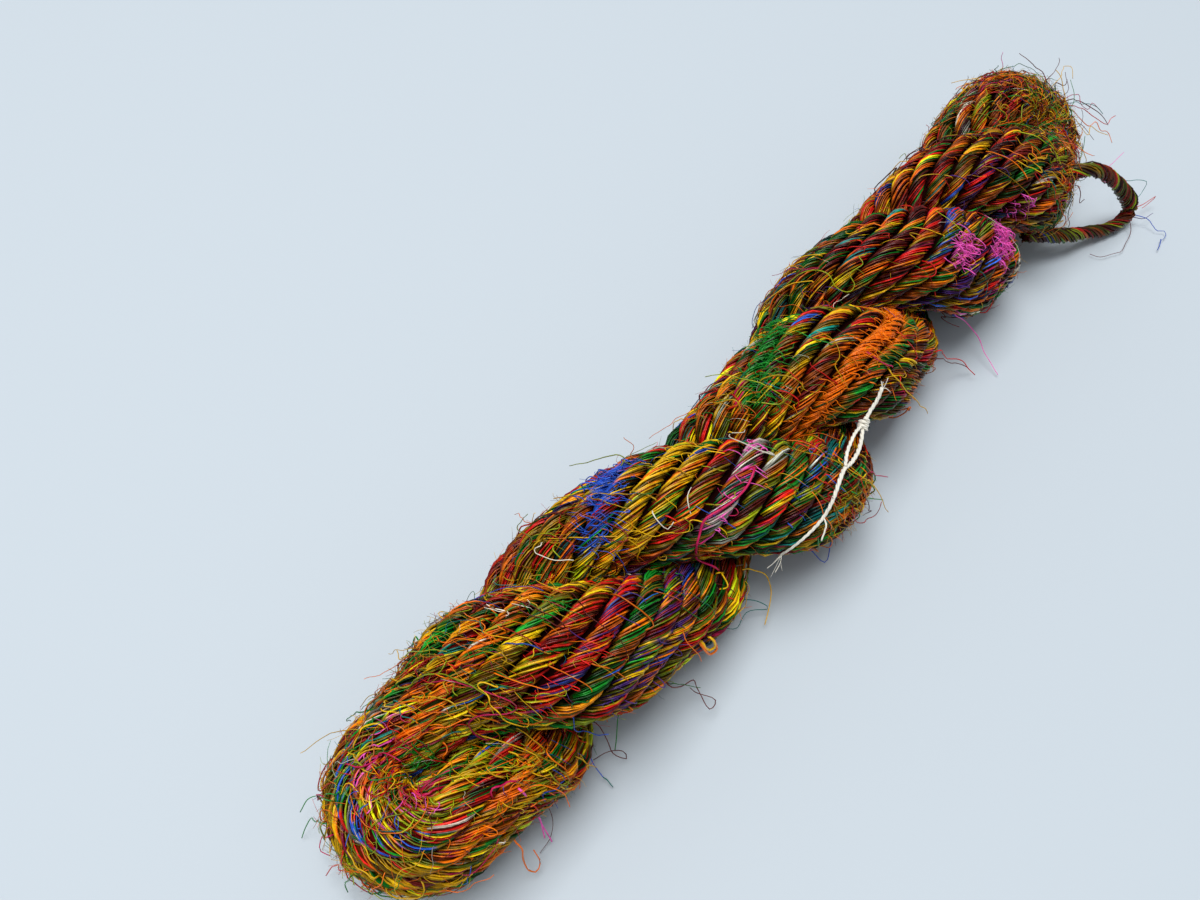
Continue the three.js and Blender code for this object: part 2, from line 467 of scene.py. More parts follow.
def twisted(line, normal, loosen):
    """The lines of the threads twisted round a yarn's line, and their ways out of the bundle."""
    distance = lengths(line)
    up, beside = square_to(line, normal)
    phase = 2 * math.pi * (np.arange(THREADS)[:, None] / THREADS + distance / TWIST)
    phase = phase + wander(len(line), *PHASE_WANDER, THREADS) * loosen
    thick = 1 + wander(len(line), *THICK_WANDER)[0]
    reach = BUNDLE_RADIUS * thick + wander(len(line), *REACH_WANDER, THREADS) * loosen
    away = up * np.cos(phase)[..., None] + beside * np.sin(phase)[..., None]
    return line + away * reach[..., None], away


print(THREADS, "threads in the yarn")

# %% [markdown]
# The skein is tied with a thin white string, and one turn of the yarn has slipped out of the far
# fold. Both are free cords: a fixed length of something flexible. Their routes are the source's
# own, in millimetres. A smooth curve through a route gives the line that the threads are twisted
# round.

# %% Routes of the free cords
TIE_TAIL = [(-66, -21.4, 22), (-65.2, -22.6, 24.6), (-63.6, -23.6, 26.6), (-61.4, -24.4, 28.2)]
TIE_TAIL += [(-59, -24.9, 29.3), (-57, -25.1, 30.4), (-55, -25, 31.8), (-53, -24.6, 32.9)]
TIE_TAIL += [(-50.8, -24, 33.6), (-48.4, -23.4, 33.8), (-46.2, -23, 33.2)]
TIE_LEG = [(-43.2, -23.2, 31.9), (-39.6, -22.9, 31.5), (-36.2, -21.9, 31.5)]
TIE_OTHER_LEG = [(-45.9, -22.9, 33.5), (-43, -21.6, 33.6), (-39.4, -20.7, 33.7)]
TIE_OTHER_LEG += [(-36, -20.2, 33)]
TIE_KNOT = (-32.6, -20.3, 31.8)
TIE_TIP = [(-30.4, -20, 32), (-28.8, -19.8, 32.4), (-27.4, -19.8, 33), (-26.2, -19.8, 33.9)]
TIE_TIP += [(-25.2, -19.6, 34.8), (-24.2, -19.3, 35.6)]
TIE_BRANCH = [(-57.5, -25.2, 30.2), (-58.6, -26.4, 30.4), (-59.8, -26.9, 29.6)]
TIE_BRANCH += [(-61.4, -27.3, 28.4)]
TURN_LOOP = [(78, -18.5, 26.5), (82.4, -22.6, 27.9), (87, -26.4, 28.5)]
TURN_LOOP += [(90.2, -28.6, 27), (95.2, -30.9, 23.5)]
TURN_LOOP += [(100.6, -33.4, 19), (105.2, -35.8, 14.5), (109.4, -38.2, 10), (111.8, -39.7, 6.5)]
TURN_LOOP += [(111.5, -40.4, 4), (109.2, -40.1, 2.6), (105.5, -39.1, 2.3), (101.4, -37.4, 2.6)]
TURN_LOOP += [(96.6, -34.9, 3.8), (91.3, -32.4, 5.5), (87, -30.6, 7), (82, -27.6, 8.6)]
TURN_LOOP += [(77, -24.2, 10.4), (72, -20.8, 12)]
PARTS_OF_A_SPAN = 12
TIE_SPACING, LOOP_SPACING = 0.7, 1.6


def curve_through(route, spacing):
    """Points about this far apart on a smooth curve through a route."""
    knots = np.asarray(route, float)
    padded = np.concatenate([[2 * knots[0] - knots[1]], knots, [2 * knots[-1] - knots[-2]]])
    t = np.linspace(0, 1, PARTS_OF_A_SPAN, endpoint=False)[:, None]
    fine = []
    for a, b, c, d in zip(padded, padded[1:], padded[2:], padded[3:]):
        square, cube = 2 * a - 5 * b + 4 * c - d, 3 * b - a - 3 * c + d
        fine.append(0.5 * (2 * b + (c - a) * t + square * t**2 + cube * t**3))
    fine = np.concatenate(fine + [knots[-1:]])
    distance = lengths(fine)
    even = np.linspace(0, distance[-1], max(int(round(distance[-1] / spacing)) + 1, 4))
    return np.stack([np.interp(even, distance, fine[:, k]) for k in range(3)], 1)


tie_line = curve_through(TIE_TAIL + TIE_LEG + [TIE_KNOT] + TIE_TIP, TIE_SPACING)
loop_line = curve_through(TURN_LOOP, LOOP_SPACING)

# %% [markdown]
# The string is a three-ply cotton, about a millimetre thick, and frays at both of its ends. The
# knot is two tight turns of the same string round itself, and the second leg of its small bow
# runs beside the first.

# %% The white tie
STRING_PLIES = 3
PLY_RADIUS = 0.23
STRING_TWIST = 4.2
STRING_WHITE = linear((240, 236, 222))
STRING_THICKNESS = [(0, 0.6), (0.25, 0.85), (0.45, 1.1), (1, 1.0)]
STRING_SHADES = (0.86, 1.0)
KNOT_TURNS, KNOT_LENGTH, KNOT_RADIUS, KNOT_POINTS = 2.3, 2.2, 0.9, 40
KNOT_HEADING = np.array([0.93, 0.30, 0.20])
FRAY_POINTS, FRAY_BEND, FRAY_LENGTHS = 7, 0.35, (0.5, 1.0)
UP = np.array([0.0, 0.0, 1.0])


def string(name, line, thickness=1.0):
    """A length of the tie string along a line. thickness may change along it."""
    distance = lengths(line)
    ahead = unit(np.gradient(line, axis=0))
    beside = unit(np.cross(ahead, UP + 0.01))
    above = np.cross(beside, ahead)
    radius = PLY_RADIUS * np.broadcast_to(thickness, len(line))
    turned = np.arange(STRING_PLIES)[:, None] / STRING_PLIES + distance / STRING_TWIST
    phase = 2 * math.pi * turned
    away = beside * np.cos(phase)[..., None] + above * np.sin(phase)[..., None]
    shade = rng.uniform(*STRING_SHADES, (STRING_PLIES, 1, 1))
    return tubes(name, line + away * radius[:, None], radius, STRING_WHITE * shade, away, sides=5)


def frayed(name, at, towards, count, length, radius, dye, spread=0.45):
    """Fine fibres that splay from the end of a thread."""
    t = np.linspace(0, 1, FRAY_POINTS)[None, :, None]
    heading = unit(np.asarray(towards, float) + rng.normal(0, spread, (count, 3)))
    bend = rng.normal(0, FRAY_BEND, (count, 1, 3)) * t**2
    reach = rng.uniform(*FRAY_LENGTHS, (count, 1, 1)) * length
    paths = np.asarray(at, float) + (heading[:, None] * t + bend) * reach
    reference = rng.normal(0, 1, (count, 1, 3)) + 0 * paths
    return tubes(name, paths, radius, dye, reference, columns=3)


tie_thickness = np.interp(np.linspace(0, 1, len(tie_line)), *zip(*STRING_THICKNESS))
knot_turn = np.linspace(0, 2 * math.pi * KNOT_TURNS, KNOT_POINTS)
knot_beside = unit(np.cross(KNOT_HEADING, UP))
knot_above = np.cross(knot_beside, KNOT_HEADING)
knot_out = knot_beside * np.cos(knot_turn)[:, None] + knot_above * np.sin(knot_turn)[:, None]
knot_line = (
    np.array(TIE_KNOT)
    + KNOT_HEADING * KNOT_LENGTH * (knot_turn / knot_turn[-1] - 0.5)[:, None]
    + knot_out * KNOT_RADIUS
)
tie_string = string("tie_string", tie_line, tie_thickness)
tie_dressing = [
    string("tie_wrap", knot_line),
    string("tie_bow", curve_through(TIE_OTHER_LEG + [TIE_KNOT], TIE_SPACING), 0.9),
    string("tie_branch", curve_through(TIE_BRANCH, TIE_SPACING), 0.45),
    frayed("tie_frays", tie_line[1], (-0.75, 0.1, -0.65), 5, 4.0, 0.09, STRING_WHITE * 0.9, 0.25),
    frayed("tip_frays", tie_line[-2], (0.8, 0.2, 0.5), 5, 3.0, 0.10, STRING_WHITE, 0.2),
]

# %% [markdown]
# The slipped turn is a length of the skein's own yarn, so it is dressed with the same threads
# round the same kind of core. It leaves the far fold, drops to the table and goes back in. Its
# threads take the dyes of the far end and are all made darker, and its core is dark maroon,
# painted shade between the threads.

# %% The slipped turn
# All of the slipped turn's threads are made darker, and its core's maroon is darkened as painted
# shade.
LOOP_DARKER, LOOP_CORE_PAINTED_SHADE = 0.55, 0.3
LOOP_LOOSENESS = 0.9
loop_distance = lengths(loop_line)
loop_places = np.full(len(loop_line), DYE_SHARES[-1, 0])
loop_lead = lead_dyes(loop_distance, loop_places)
loop_threads, loop_out = twisted(loop_line, UP + 0 * loop_line, LOOP_LOOSENESS)
slipped_turn = tubes(
    "slipped_turn",
    loop_threads,
    THREAD_RADIUS,
    thread_colors(loop_distance, loop_places, loop_lead) * LOOP_DARKER,
    loop_out,
    sides=4,
)
slipped_core = tubes(
    "slipped_core",
    loop_line[None],
    CORE_RADIUS,
    DYES["maroon"] * LOOP_CORE_PAINTED_SHADE,
    (UP + 0 * loop_line)[None],
    sides=8,
)
print("two free cords")

# %% [markdown]
# Here and there a tuft of a single dye has been spun in. The largest are an orange one that
# follows a turn, a green and a blue one that cross the turns and three pink ones near the far
# end, and small ones of many dyes lie between. A tuft colours the yarn's own threads along its
# route, for as far as it reaches, and gets loose fibres later. A tuft with a length follows the
# turn that its place lies on.

# %% Tufts of one dye
TUFTS = [
    # dye, reach, share of the threads, loose fibres, their stray, length along its turn, route
    ("orange", 3.3, 0.95, 120, 0.35, 70, [(-14.5, -10.8, 38)]),
    ("violet", 2.2, 0.66, 10, 0.35, 44, [(-103, -8.6, 36.5)]),
    ("violet", 2.2, 0.50, 10, 0.35, 40, [(-97, -13.5, 33)]),
    ("red", 2.2, 0.55, 10, 0.35, 40, [(-110, -6, 37)]),
    ("magenta", 1.8, 0.25, 6, 0.35, 34, [(-68, -8, 40)]),
    ("pink", 1.6, 0.35, 14, 0.50, 22, [(-66, -9.4, 40)]),
    (
        "green", 2.8, 0.85, 140, 1.2, 0,
        [(-16, 11.4, 31), (-26.3, 7.7, 36.3), (-32.8, 5.5, 37.6), (-37.4, 3.5, 37.1)]
        + [(-44, 0.5, 34.7)],
    ),
    (
        "blue", 2.4, 0.7, 130, 1.2, 0,
        [(-76, 12.8, 36.1), (-81, 12.6, 36.4), (-85.7, 10.9, 37.1), (-89.9, 9.2, 36.7)]
        + [(-92.9, 7.8, 34.6)],
    ),
    ("pink", 2.2, 1.00, 120, 0.5, 10, [(41.2, -20.5, 31.1)]),
    ("pink", 1.7, 1.00, 60, 0.5, 9, [(26.3, -16.2, 34.8)]),
    ("pink", 1.4, 0.80, 36, 0.7, 7, [(57.2, -16.5, 29.0)]),
    ("red", 2.0, 0.60, 6, 0.3, 30, [(-143, 11, 32)]),
    ("green", 2.0, 0.55, 10, 0.5, 26, [(-150, 18, 29)]),
    ("pink", 2.0, 0.45, 8, 0.4, 30, [(-153, 9, 32)]),
    ("magenta", 2.0, 0.50, 8, 0.4, 30, [(-149, 8, 30)]),
    ("blue", 2.0, 0.50, 8, 0.4, 26, [(-158, 7, 30)]),
    ("lime", 2.0, 0.55, 8, 0.4, 30, [(-145, -4, 31)]),
    ("orange", 2.2, 0.60, 10, 0.4, 30, [(-137, -10, 28)]),
    ("yellow", 2.2, 0.60, 10, 0.4, 36, [(-72, 1, 41)]),
    ("yellow", 2.2, 0.55, 10, 0.4, 36, [(-81, 7, 39)]),
    ("green", 2.0, 0.50, 8, 0.4, 30, [(-57, -16, 37)]),
    ("blue", 1.8, 0.50, 6, 0.4, 18, [(-52, -19, 35)]),
    ("red", 1.8, 0.50, 6, 0.4, 18, [(-46, -15, 33)]),
    ("blue", 2.0, 0.60, 8, 0.4, 26, [(35, -7, 38)]),
    ("violet", 2.2, 0.60, 8, 0.4, 34, [(15, -14, 26)]),
    ("violet", 2.0, 0.50, 8, 0.4, 22, [(48, -6, 34)]),
    ("red", 2.0, 0.50, 8, 0.4, 24, [(17, 3, 40)]),
    ("violet", 2.0, 0.60, 8, 0.4, 34, [(-96, -17, 24)]),
    ("red", 2.2, 0.60, 8, 0.4, 30, [(-105, -4, 38)]),
    ("orange", 2.2, 0.60, 20, 0.5, 34, [(-134, 11, 35)]),
    ("green", 1.6, 0.30, 30, 1.2, 1, [(-145, 7, 29)]),
    ("green", 1.6, 0.30, 24, 1.2, 1, [(-129, -2, 33)]),
    ("green", 1.6, 0.40, 24, 1.2, 1, [(-23, 9, 34)]),
    (
        "green", 1.6, 0.2, 22, 1.2, 0,
        [(-120.3, 8.7, 40.2), (-113, 4.4, 40.1), (-108.9, 3.9, 39.1)],
    ),
    (
        "white", 1.2, 0.1, 5, 1.2, 0,
        [(-123, 9.2, 39.2), (-118.4, 10, 39.3), (-112.5, 6.1, 39.6)],
    ),
]


def off_route(points, curve):
    """How far each point is from a curve."""
    return np.min([np.linalg.norm(points - p, axis=-1) for p in curve], axis=0)


print(len(TUFTS), "tufts")

# %% [markdown]
# The whole skein is one yarn. It goes round the loop sixteen times, and each round lies in a
# place of its own, so one line of eleven metres describes it all. The stretches that lie between
# the strands can't be seen, nor can the threads behind a turn's own core, and they are left out.
# The yarn lies loosest at the far end, as it does in the photo. A thread that faces away from the
# surface gets painted shade on its dye, as it lies in the groove between two turns, where little
# light reaches.

# %% The wound yarn
YARN_UNDER = 1.60
HIDDEN_FACING = -0.42
SAMPLES_IN_STEP = 2.4
FOLD_SAMPLES = 4.2
SPACING_WANDER, LIFT_WANDER = (14, 0.055), (16, 0.5)
YARN_FLOOR = 1.9
TUFT_SHADES, TUFT_MARGIN, TUFT_EDGE, TUFT_SPACING = (0.75, 1.1), 2, 0.8, 1.5
# Painted shade in the grooves between turns: the least of the dye that is kept, the facing where
# the darkening starts and how wide it fades.
GROOVE_PAINTED_SHADE, GROOVE_FACING, GROOVE_WIDTH = 0.20, -0.40, 1.1
THREAD_SIZES, SIZE_WANDER = (0.7, 1.35), (7, 0.06)
BETWEEN_STRANDS = -1.2
LOOSE_PLACES = [(-165, 0.75), (-125, 0.85), (-100, 0.7), (-60, 0.7), (60, 0.75), (125, 1.1)]


def loop_samples():
    """Steps of one round of the loop, closer together in the folds, where a step is longer."""
    edges = np.cumsum([0, FOLD_STEPS, STRAND_STEPS, 2 * FOLD_STEPS, STRAND_STEPS, FOLD_STEPS])
    per_step = [FOLD_SAMPLES, SAMPLES_IN_STEP, FOLD_SAMPLES, SAMPLES_IN_STEP, FOLD_SAMPLES]
    return np.concatenate(
        [
            np.linspace(a, b, int(round((b - a) * n)), endpoint=False)
            for a, b, n in zip(edges, edges[1:], per_step)
        ]
    )


one_round = loop_samples()
rounds = np.arange(TURNS_SHOWING)[:, None] * LOOP_STEPS
yarn_step = np.concatenate([(rounds + one_round).ravel(), [TURNS_SHOWING * LOOP_STEPS]])
samples = len(yarn_step)
yarn_x, yarn_fold, _ = loop_x(yarn_step)
loose = np.interp(yarn_x, *zip(*LOOSE_PLACES))
yarn_angle = spin(yarn_step)
yarn_angle = yarn_angle - EVEN_SPACING * np.sin(2 * yarn_angle)
yarn_angle = yarn_angle + wander(samples, *SPACING_WANDER)[0] * loose
yarn_lift = -YARN_UNDER + wander(samples, *LIFT_WANDER)[0] * loose
yarn_line = surface(yarn_step, yarn_angle, yarn_lift, floor=YARN_FLOOR)
raised = surface(yarn_step, yarn_angle, yarn_lift + 1, floor=NO_FLOOR)
yarn_normal = unit(raised - surface(yarn_step, yarn_angle, yarn_lift, floor=NO_FLOOR))
yarn_distance = lengths(yarn_line)
print("the yarn has", samples, "samples and is", round(yarn_distance[-1] * MM, 1), "m long")

yarn_lead = lead_dyes(yarn_distance, yarn_x)
thread_lines, thread_out = twisted(yarn_line, yarn_normal, loose)
thread_dyes_and_shade = thread_colors(yarn_distance, yarn_x, yarn_lead)
tuft_curves = []
for _, _, _, _, _, length, route in TUFTS:
    middle = np.argmin(np.linalg.norm(yarn_line - route[0], axis=1))
    follows = np.abs(yarn_distance - yarn_distance[middle]) < length / 2
    tuft_curves.append(yarn_line[follows] if length else curve_through(route, TUFT_SPACING))
for (dye, reach, share, *_), curve in zip(TUFTS, tuft_curves):
    near = np.flatnonzero(off_route(yarn_line, curve) < reach + TUFT_MARGIN)
    edge = reach + rng.uniform(-TUFT_EDGE, TUFT_EDGE, (THREADS, len(near)))
    inside = off_route(thread_lines[:, near], curve) < edge
    shade = rng.uniform(*TUFT_SHADES, (THREADS, 1, 1))
    taken = (inside & (rng.random((THREADS, 1)) < share))[..., None]
    tuft_dye = np.clip(DYES[dye] * shade, 0, 1)
    thread_dyes_and_shade[:, near] = np.where(taken, tuft_dye, thread_dyes_and_shade[:, near])
# Painted shade: threads that face away from the surface, into the groove between turns, are
# darkened.
facing = (thread_out * yarn_normal).sum(-1, keepdims=True)
lit = smooth((facing - GROOVE_FACING) / GROOVE_WIDTH)
thread_dyes_and_shade = thread_dyes_and_shade * (GROOVE_PAINTED_SHADE + (1 - GROOVE_PAINTED_SHADE) * lit)
thread_radius = THREAD_RADIUS * rng.uniform(*THREAD_SIZES, (THREADS, 1))
thread_radius = thread_radius + wander(samples, *SIZE_WANDER, THREADS)

from_middle = np.cos(yarn_angle) * (along(yarn_x, "deep") - YARN_UNDER) + along(yarn_x, "centre")
shows = (from_middle > BETWEEN_STRANDS) | (yarn_fold != 0)
seen = shows & (facing[..., 0] > HIDDEN_FACING)
PARTS = {
    "turns_out_near": (0, HALF_STEPS / 2),
    "turns_out_far": (HALF_STEPS / 2, HALF_STEPS),
    "turns_back_far": (HALF_STEPS, 1.5 * HALF_STEPS),
    "turns_back_near": (1.5 * HALF_STEPS, LOOP_STEPS),
}
turn_pieces = []
for name, (start, end) in PARTS.items():
    first, last = np.searchsorted(one_round, [start, end])
    picks = [n * len(one_round) + np.arange(first, last + 1) for n in range(TURNS_SHOWING)]
    made = [seen[:, p][:, :-1] & seen[:, p][:, 1:] for p in picks]
    arrays = (thread_lines, thread_radius, thread_dyes_and_shade, thread_out)
    cut = [np.concatenate([rows[:, p] for p in picks]) for rows in arrays]
    turn_pieces.append(tubes(name, *cut, np.concatenate(made)))

# %% [markdown]
# Between the threads, the real yarn lies in shade and is still coloured. So each turn gets a core
# a little thinner than the bundle, in a dark version of the dye that leads it, and a plain inner
# body in dark maroon closes what is left between the turns. Both colours are painted shade.

# %% Cores and inner turns
# Painted shade for the cores and the inner body: how much of the leading dye and of maroon they
# keep.
CORE_PAINTED_SHADE, MAROON_PAINTED_SHADE = 0.09, 0.14
INNER_LIFT, INNER_FLOOR = -3.0, 1.0
INNER_RINGS, INNER_SIDES = 61, 40
core_pick = np.arange(0, samples, 2)
core_painted_shade = DYE_TABLE[yarn_lead[:, 0]] * CORE_PAINTED_SHADE + DYES["maroon"] * MAROON_PAINTED_SHADE
core_shows = shows[core_pick][:-1] & shows[core_pick][1:]
yarn_core = tubes(
    "yarn_core",
    yarn_line[core_pick][None],
    CORE_RADIUS,
    core_painted_shade[core_pick][None],
    yarn_normal[core_pick][None],
    core_shows[None],
    sides=6,
)


def inner_half(name, first_step):
    """Half of the loop under the yarn turns: rings of one tube, closed at both of its ends."""
    steps = first_step + np.linspace(0, HALF_STEPS, INNER_RINGS)
    around = np.arange(INNER_SIDES)
    angles = np.tile(2 * math.pi * around / INNER_SIDES, INNER_RINGS)
    grid = surface(np.repeat(steps, INNER_SIDES), angles, INNER_LIFT, floor=INNER_FLOOR)
    ring = np.arange(INNER_RINGS - 1)[:, None] * INNER_SIDES
    beside = np.roll(around, -1)
    next_ring = ring + INNER_SIDES
    quads = np.stack([ring + around, next_ring + around, next_ring + beside, ring + beside], -1)
    quads = quads.reshape(-1, 4)
    ends = np.stack([around, (INNER_RINGS - 1) * INNER_SIDES + around[::-1]])
    # The rings take nine tenths of the map, and the two end discs lie beside them
    u, v = np.divmod(quads, INNER_SIDES)
    v = np.where((v == 0) & (np.arange(4) > 1), INNER_SIDES, v)
    uv_quads = np.stack([0.02 + 0.9 * u / INNER_RINGS, 0.02 + 0.96 * v / INNER_SIDES], -1)
    angle = 2 * math.pi * around / INNER_SIDES
    disc = np.stack([0.96 + 0.03 * np.cos(angle), 0.1 + 0.03 * np.sin(angle)], -1)
    uv_ends = np.stack([disc, disc + [0, 0.2]])
    # The inner body is dark maroon, painted shade for the gaps between the turns.
    dye = np.tile(DYES["maroon"] * MAROON_PAINTED_SHADE, (len(grid), 1))
    return new_mesh(name, laid(grid), quads, ends, dye, uv_quads, uv_ends)


inner_pieces = [inner_half("inner_out", 0), inner_half("inner_back", HALF_STEPS)]
print("cores and inner turns made")

# %% [markdown]
# Frizz makes this yarn what it is. Short ends stand out of every turn, longer ones curl over the
# strands, and a fine fuzz softens the outline. Each starts on the yarn and wanders over the
# loop's own surface, with a lift that rises and falls, so it drapes as a real thread does. It is
# thickest in a few places: the left of the near end, the dips between the strands and the far
# end.

# %% Loose threads
FRIZZ_PLACES = [(-130, 0.2), (-105, 0.18), (-85, 0.18), (-20, 0.2), (60, 0.25), (90, 0.5)]
FRIZZ_CLUSTERS = [
    # place, how far it spreads, how much thicker it is there
    ((-130, 20, 29), 12, 1.8),
    ((-133, 7, 35), 7, 0.9),
    ((-118, 13, 38), 7, 0.9),
    ((-128, -3, 28), 6, 1.4),
    ((-130, -13, 22), 7, 1.8),
    ((-162, 10, 24), 8, 1.3),
    ((-101, 14, 30), 7, 1.4),
    ((-93, 3, 29), 5, 1.8),
    ((-81, -8, 32), 5, 1.4),
    ((-45, 4, 34), 6, 1.8),
    ((-7, 10, 30), 6, 1.6),
    ((106, -14, 26), 10, 4.0),
    ((100, 6, 37), 10, 2.2),
    ((72, -25, 27), 8, 1.6),
    ((-48, -27, 27), 8, 1.4),
]
FRIZZ_DYES = np.array([25, 32, 12, 9, 3, 3, 1, 2, 14, 3, 6, 1]) / 111
LOCAL_SHARE = 0.6
FRIZZ_SHADES, FIBRE_SHADES = (0.4, 1.0), (0.8, 1.2)
MEAN_RADIUS, STEP_LENGTH = 13, 4
PROBE, LEAST_PER_STEP, LEAST_PER_ANGLE = 0.05, 1.5, 4.0
START_SPREAD, SUNK_END = 0.12, -0.5
FREE_TAPER, FREE_RISE, BOUND_RISE, FRIZZ_FLOOR = 0.45, 1.4, 0.7, 0.25
START_LIFT, LIFT_WAVES, CURL_KNOT = 0.2, (2.5, 0.4), 2.2
OFF_TABLE, OUTER_HALF = 2.5, 3
outside = np.flatnonzero(shows & (yarn_line[:, 2] > OFF_TABLE) & (from_middle > OUTER_HALF))
frizz_chance = np.interp(yarn_x[outside], *zip(*FRIZZ_PLACES))
for place, spread, more in FRIZZ_CLUSTERS:
    off = np.linalg.norm(yarn_line[outside] - place, axis=1)
    frizz_chance = frizz_chance + more * np.exp(-0.5 * (off / spread) ** 2)


def loose_threads(
    name, count, points, long, lift, curl, radius, free, chance, dye=None, stray=0.9
):
    """Threads that start on the yarn and wander over the skein. free of them end in the air."""
    start = rng.choice(outside, count, p=chance / chance.sum())
    step = yarn_step[start]
    angle = yarn_angle[start] + rng.uniform(-START_SPREAD, START_SPREAD, count)
    ahead = surface(step + 0.5, angle, 0) - surface(step - 0.5, angle, 0)
    around = surface(step, angle + PROBE, 0) - surface(step, angle - PROBE, 0)
    per_step = np.maximum(np.linalg.norm(ahead, axis=1), LEAST_PER_STEP)[:, None]
    per_angle = np.linalg.norm(around / (2 * PROBE), axis=1)
    per_angle = np.maximum(per_angle, LEAST_PER_ANGLE)[:, None]
    slope = math.atan2(2 * math.pi * WOUND_IN_ALL * MEAN_RADIUS, STRAND_STEPS * STEP_LENGTH)
    heading = slope + rng.normal(0, stray, (count, 1)) + rng.choice([0, math.pi], (count, 1))
    heading = heading + np.cumsum(wander(points, CURL_KNOT, curl, count), axis=1)
    stride = (rng.uniform(*long, count) / (points - 1))[:, None]
    steps = step[:, None] + np.cumsum(np.cos(heading) * stride, 1) / per_step
    angles = angle[:, None] + np.cumsum(np.sin(heading) * stride, 1) / per_angle
    is_free = rng.random((count, 1)) < free
    t = np.linspace(0, 1, points)[None]
    rise = np.where(is_free, t**FREE_RISE, np.sin(math.pi * t) ** BOUND_RISE)
    top = rng.uniform(*lift, (count, 1))
    waves = wander(points, *LIFT_WAVES, count) * np.minimum(1, top)
    lifts = START_LIFT + rise * top + waves
    lifts[:, 0] = SUNK_END
    lifts[:, -1] = np.where(is_free[:, 0], lifts[:, -1], SUNK_END)
    paths = surface(steps.ravel(), angles.ravel(), lifts.ravel(), floor=FRIZZ_FLOOR)
    paths = paths.reshape(count, points, 3)
    colors = np.zeros((count, 1, 3))
    for k in range(count):
        mix = shares_at(yarn_x[start[k]]) if rng.random() < LOCAL_SHARE else FRIZZ_DYES
        colors[k] = DYES[dye] if dye else DYE_TABLE[rng.choice(len(DYE_NAMES), p=mix)]
    shades = FIBRE_SHADES if dye else FRIZZ_SHADES
    colors = np.clip(colors * rng.uniform(*shades, (count, 1, 1)), 0, 1)
    thin = rng.uniform(*radius, (count, 1)) * (1 - FREE_TAPER * t * is_free)
    across = int(math.ceil(math.sqrt(count)))
    reference = rng.normal(0, 1, (count, 1, 3)) + 0 * paths
    return tubes(name, paths, thin, colors, reference, columns=across)


FRIZZ = [
    # name, how many, points, length, lift, curl, radius, share that ends in the air
    ("frizz_short", 1000, 12, (4, 13), (0.2, 1.5), 0.65, (0.10, 0.20), 0.55),
    ("frizz_long", 55, 40, (20, 40), (0.3, 1.8), 0.65, (0.12, 0.20), 0.4),
    ("frizz_ends", 190, 20, (8, 22), (2.0, 6.5), 0.65, (0.10, 0.20), 1.0),
    ("fuzz", 3000, 5, (2, 6), (0.6, 2.4), 0.80, (0.045, 0.08), 1.0),
]
TUFT_FIBRE = (8, (1.8, 5.2), (0.2, 1.5), 0.8, (0.07, 0.14), 0.5)
TUFT_SPREAD = 0.6
loose_pieces = [loose_threads(*row, frizz_chance) for row in FRIZZ]
for number, ((dye, reach, _, fibres, stray, *_), curve) in enumerate(zip(TUFTS, tuft_curves), 1):
    off = off_route(yarn_line[outside], curve) / (TUFT_SPREAD * reach)
    chance = np.exp(-0.5 * off**2) + 1e-9
    name = f"tuft_{number}"
    loose_pieces.append(loose_threads(name, fibres, *TUFT_FIBRE, chance, dye, stray))
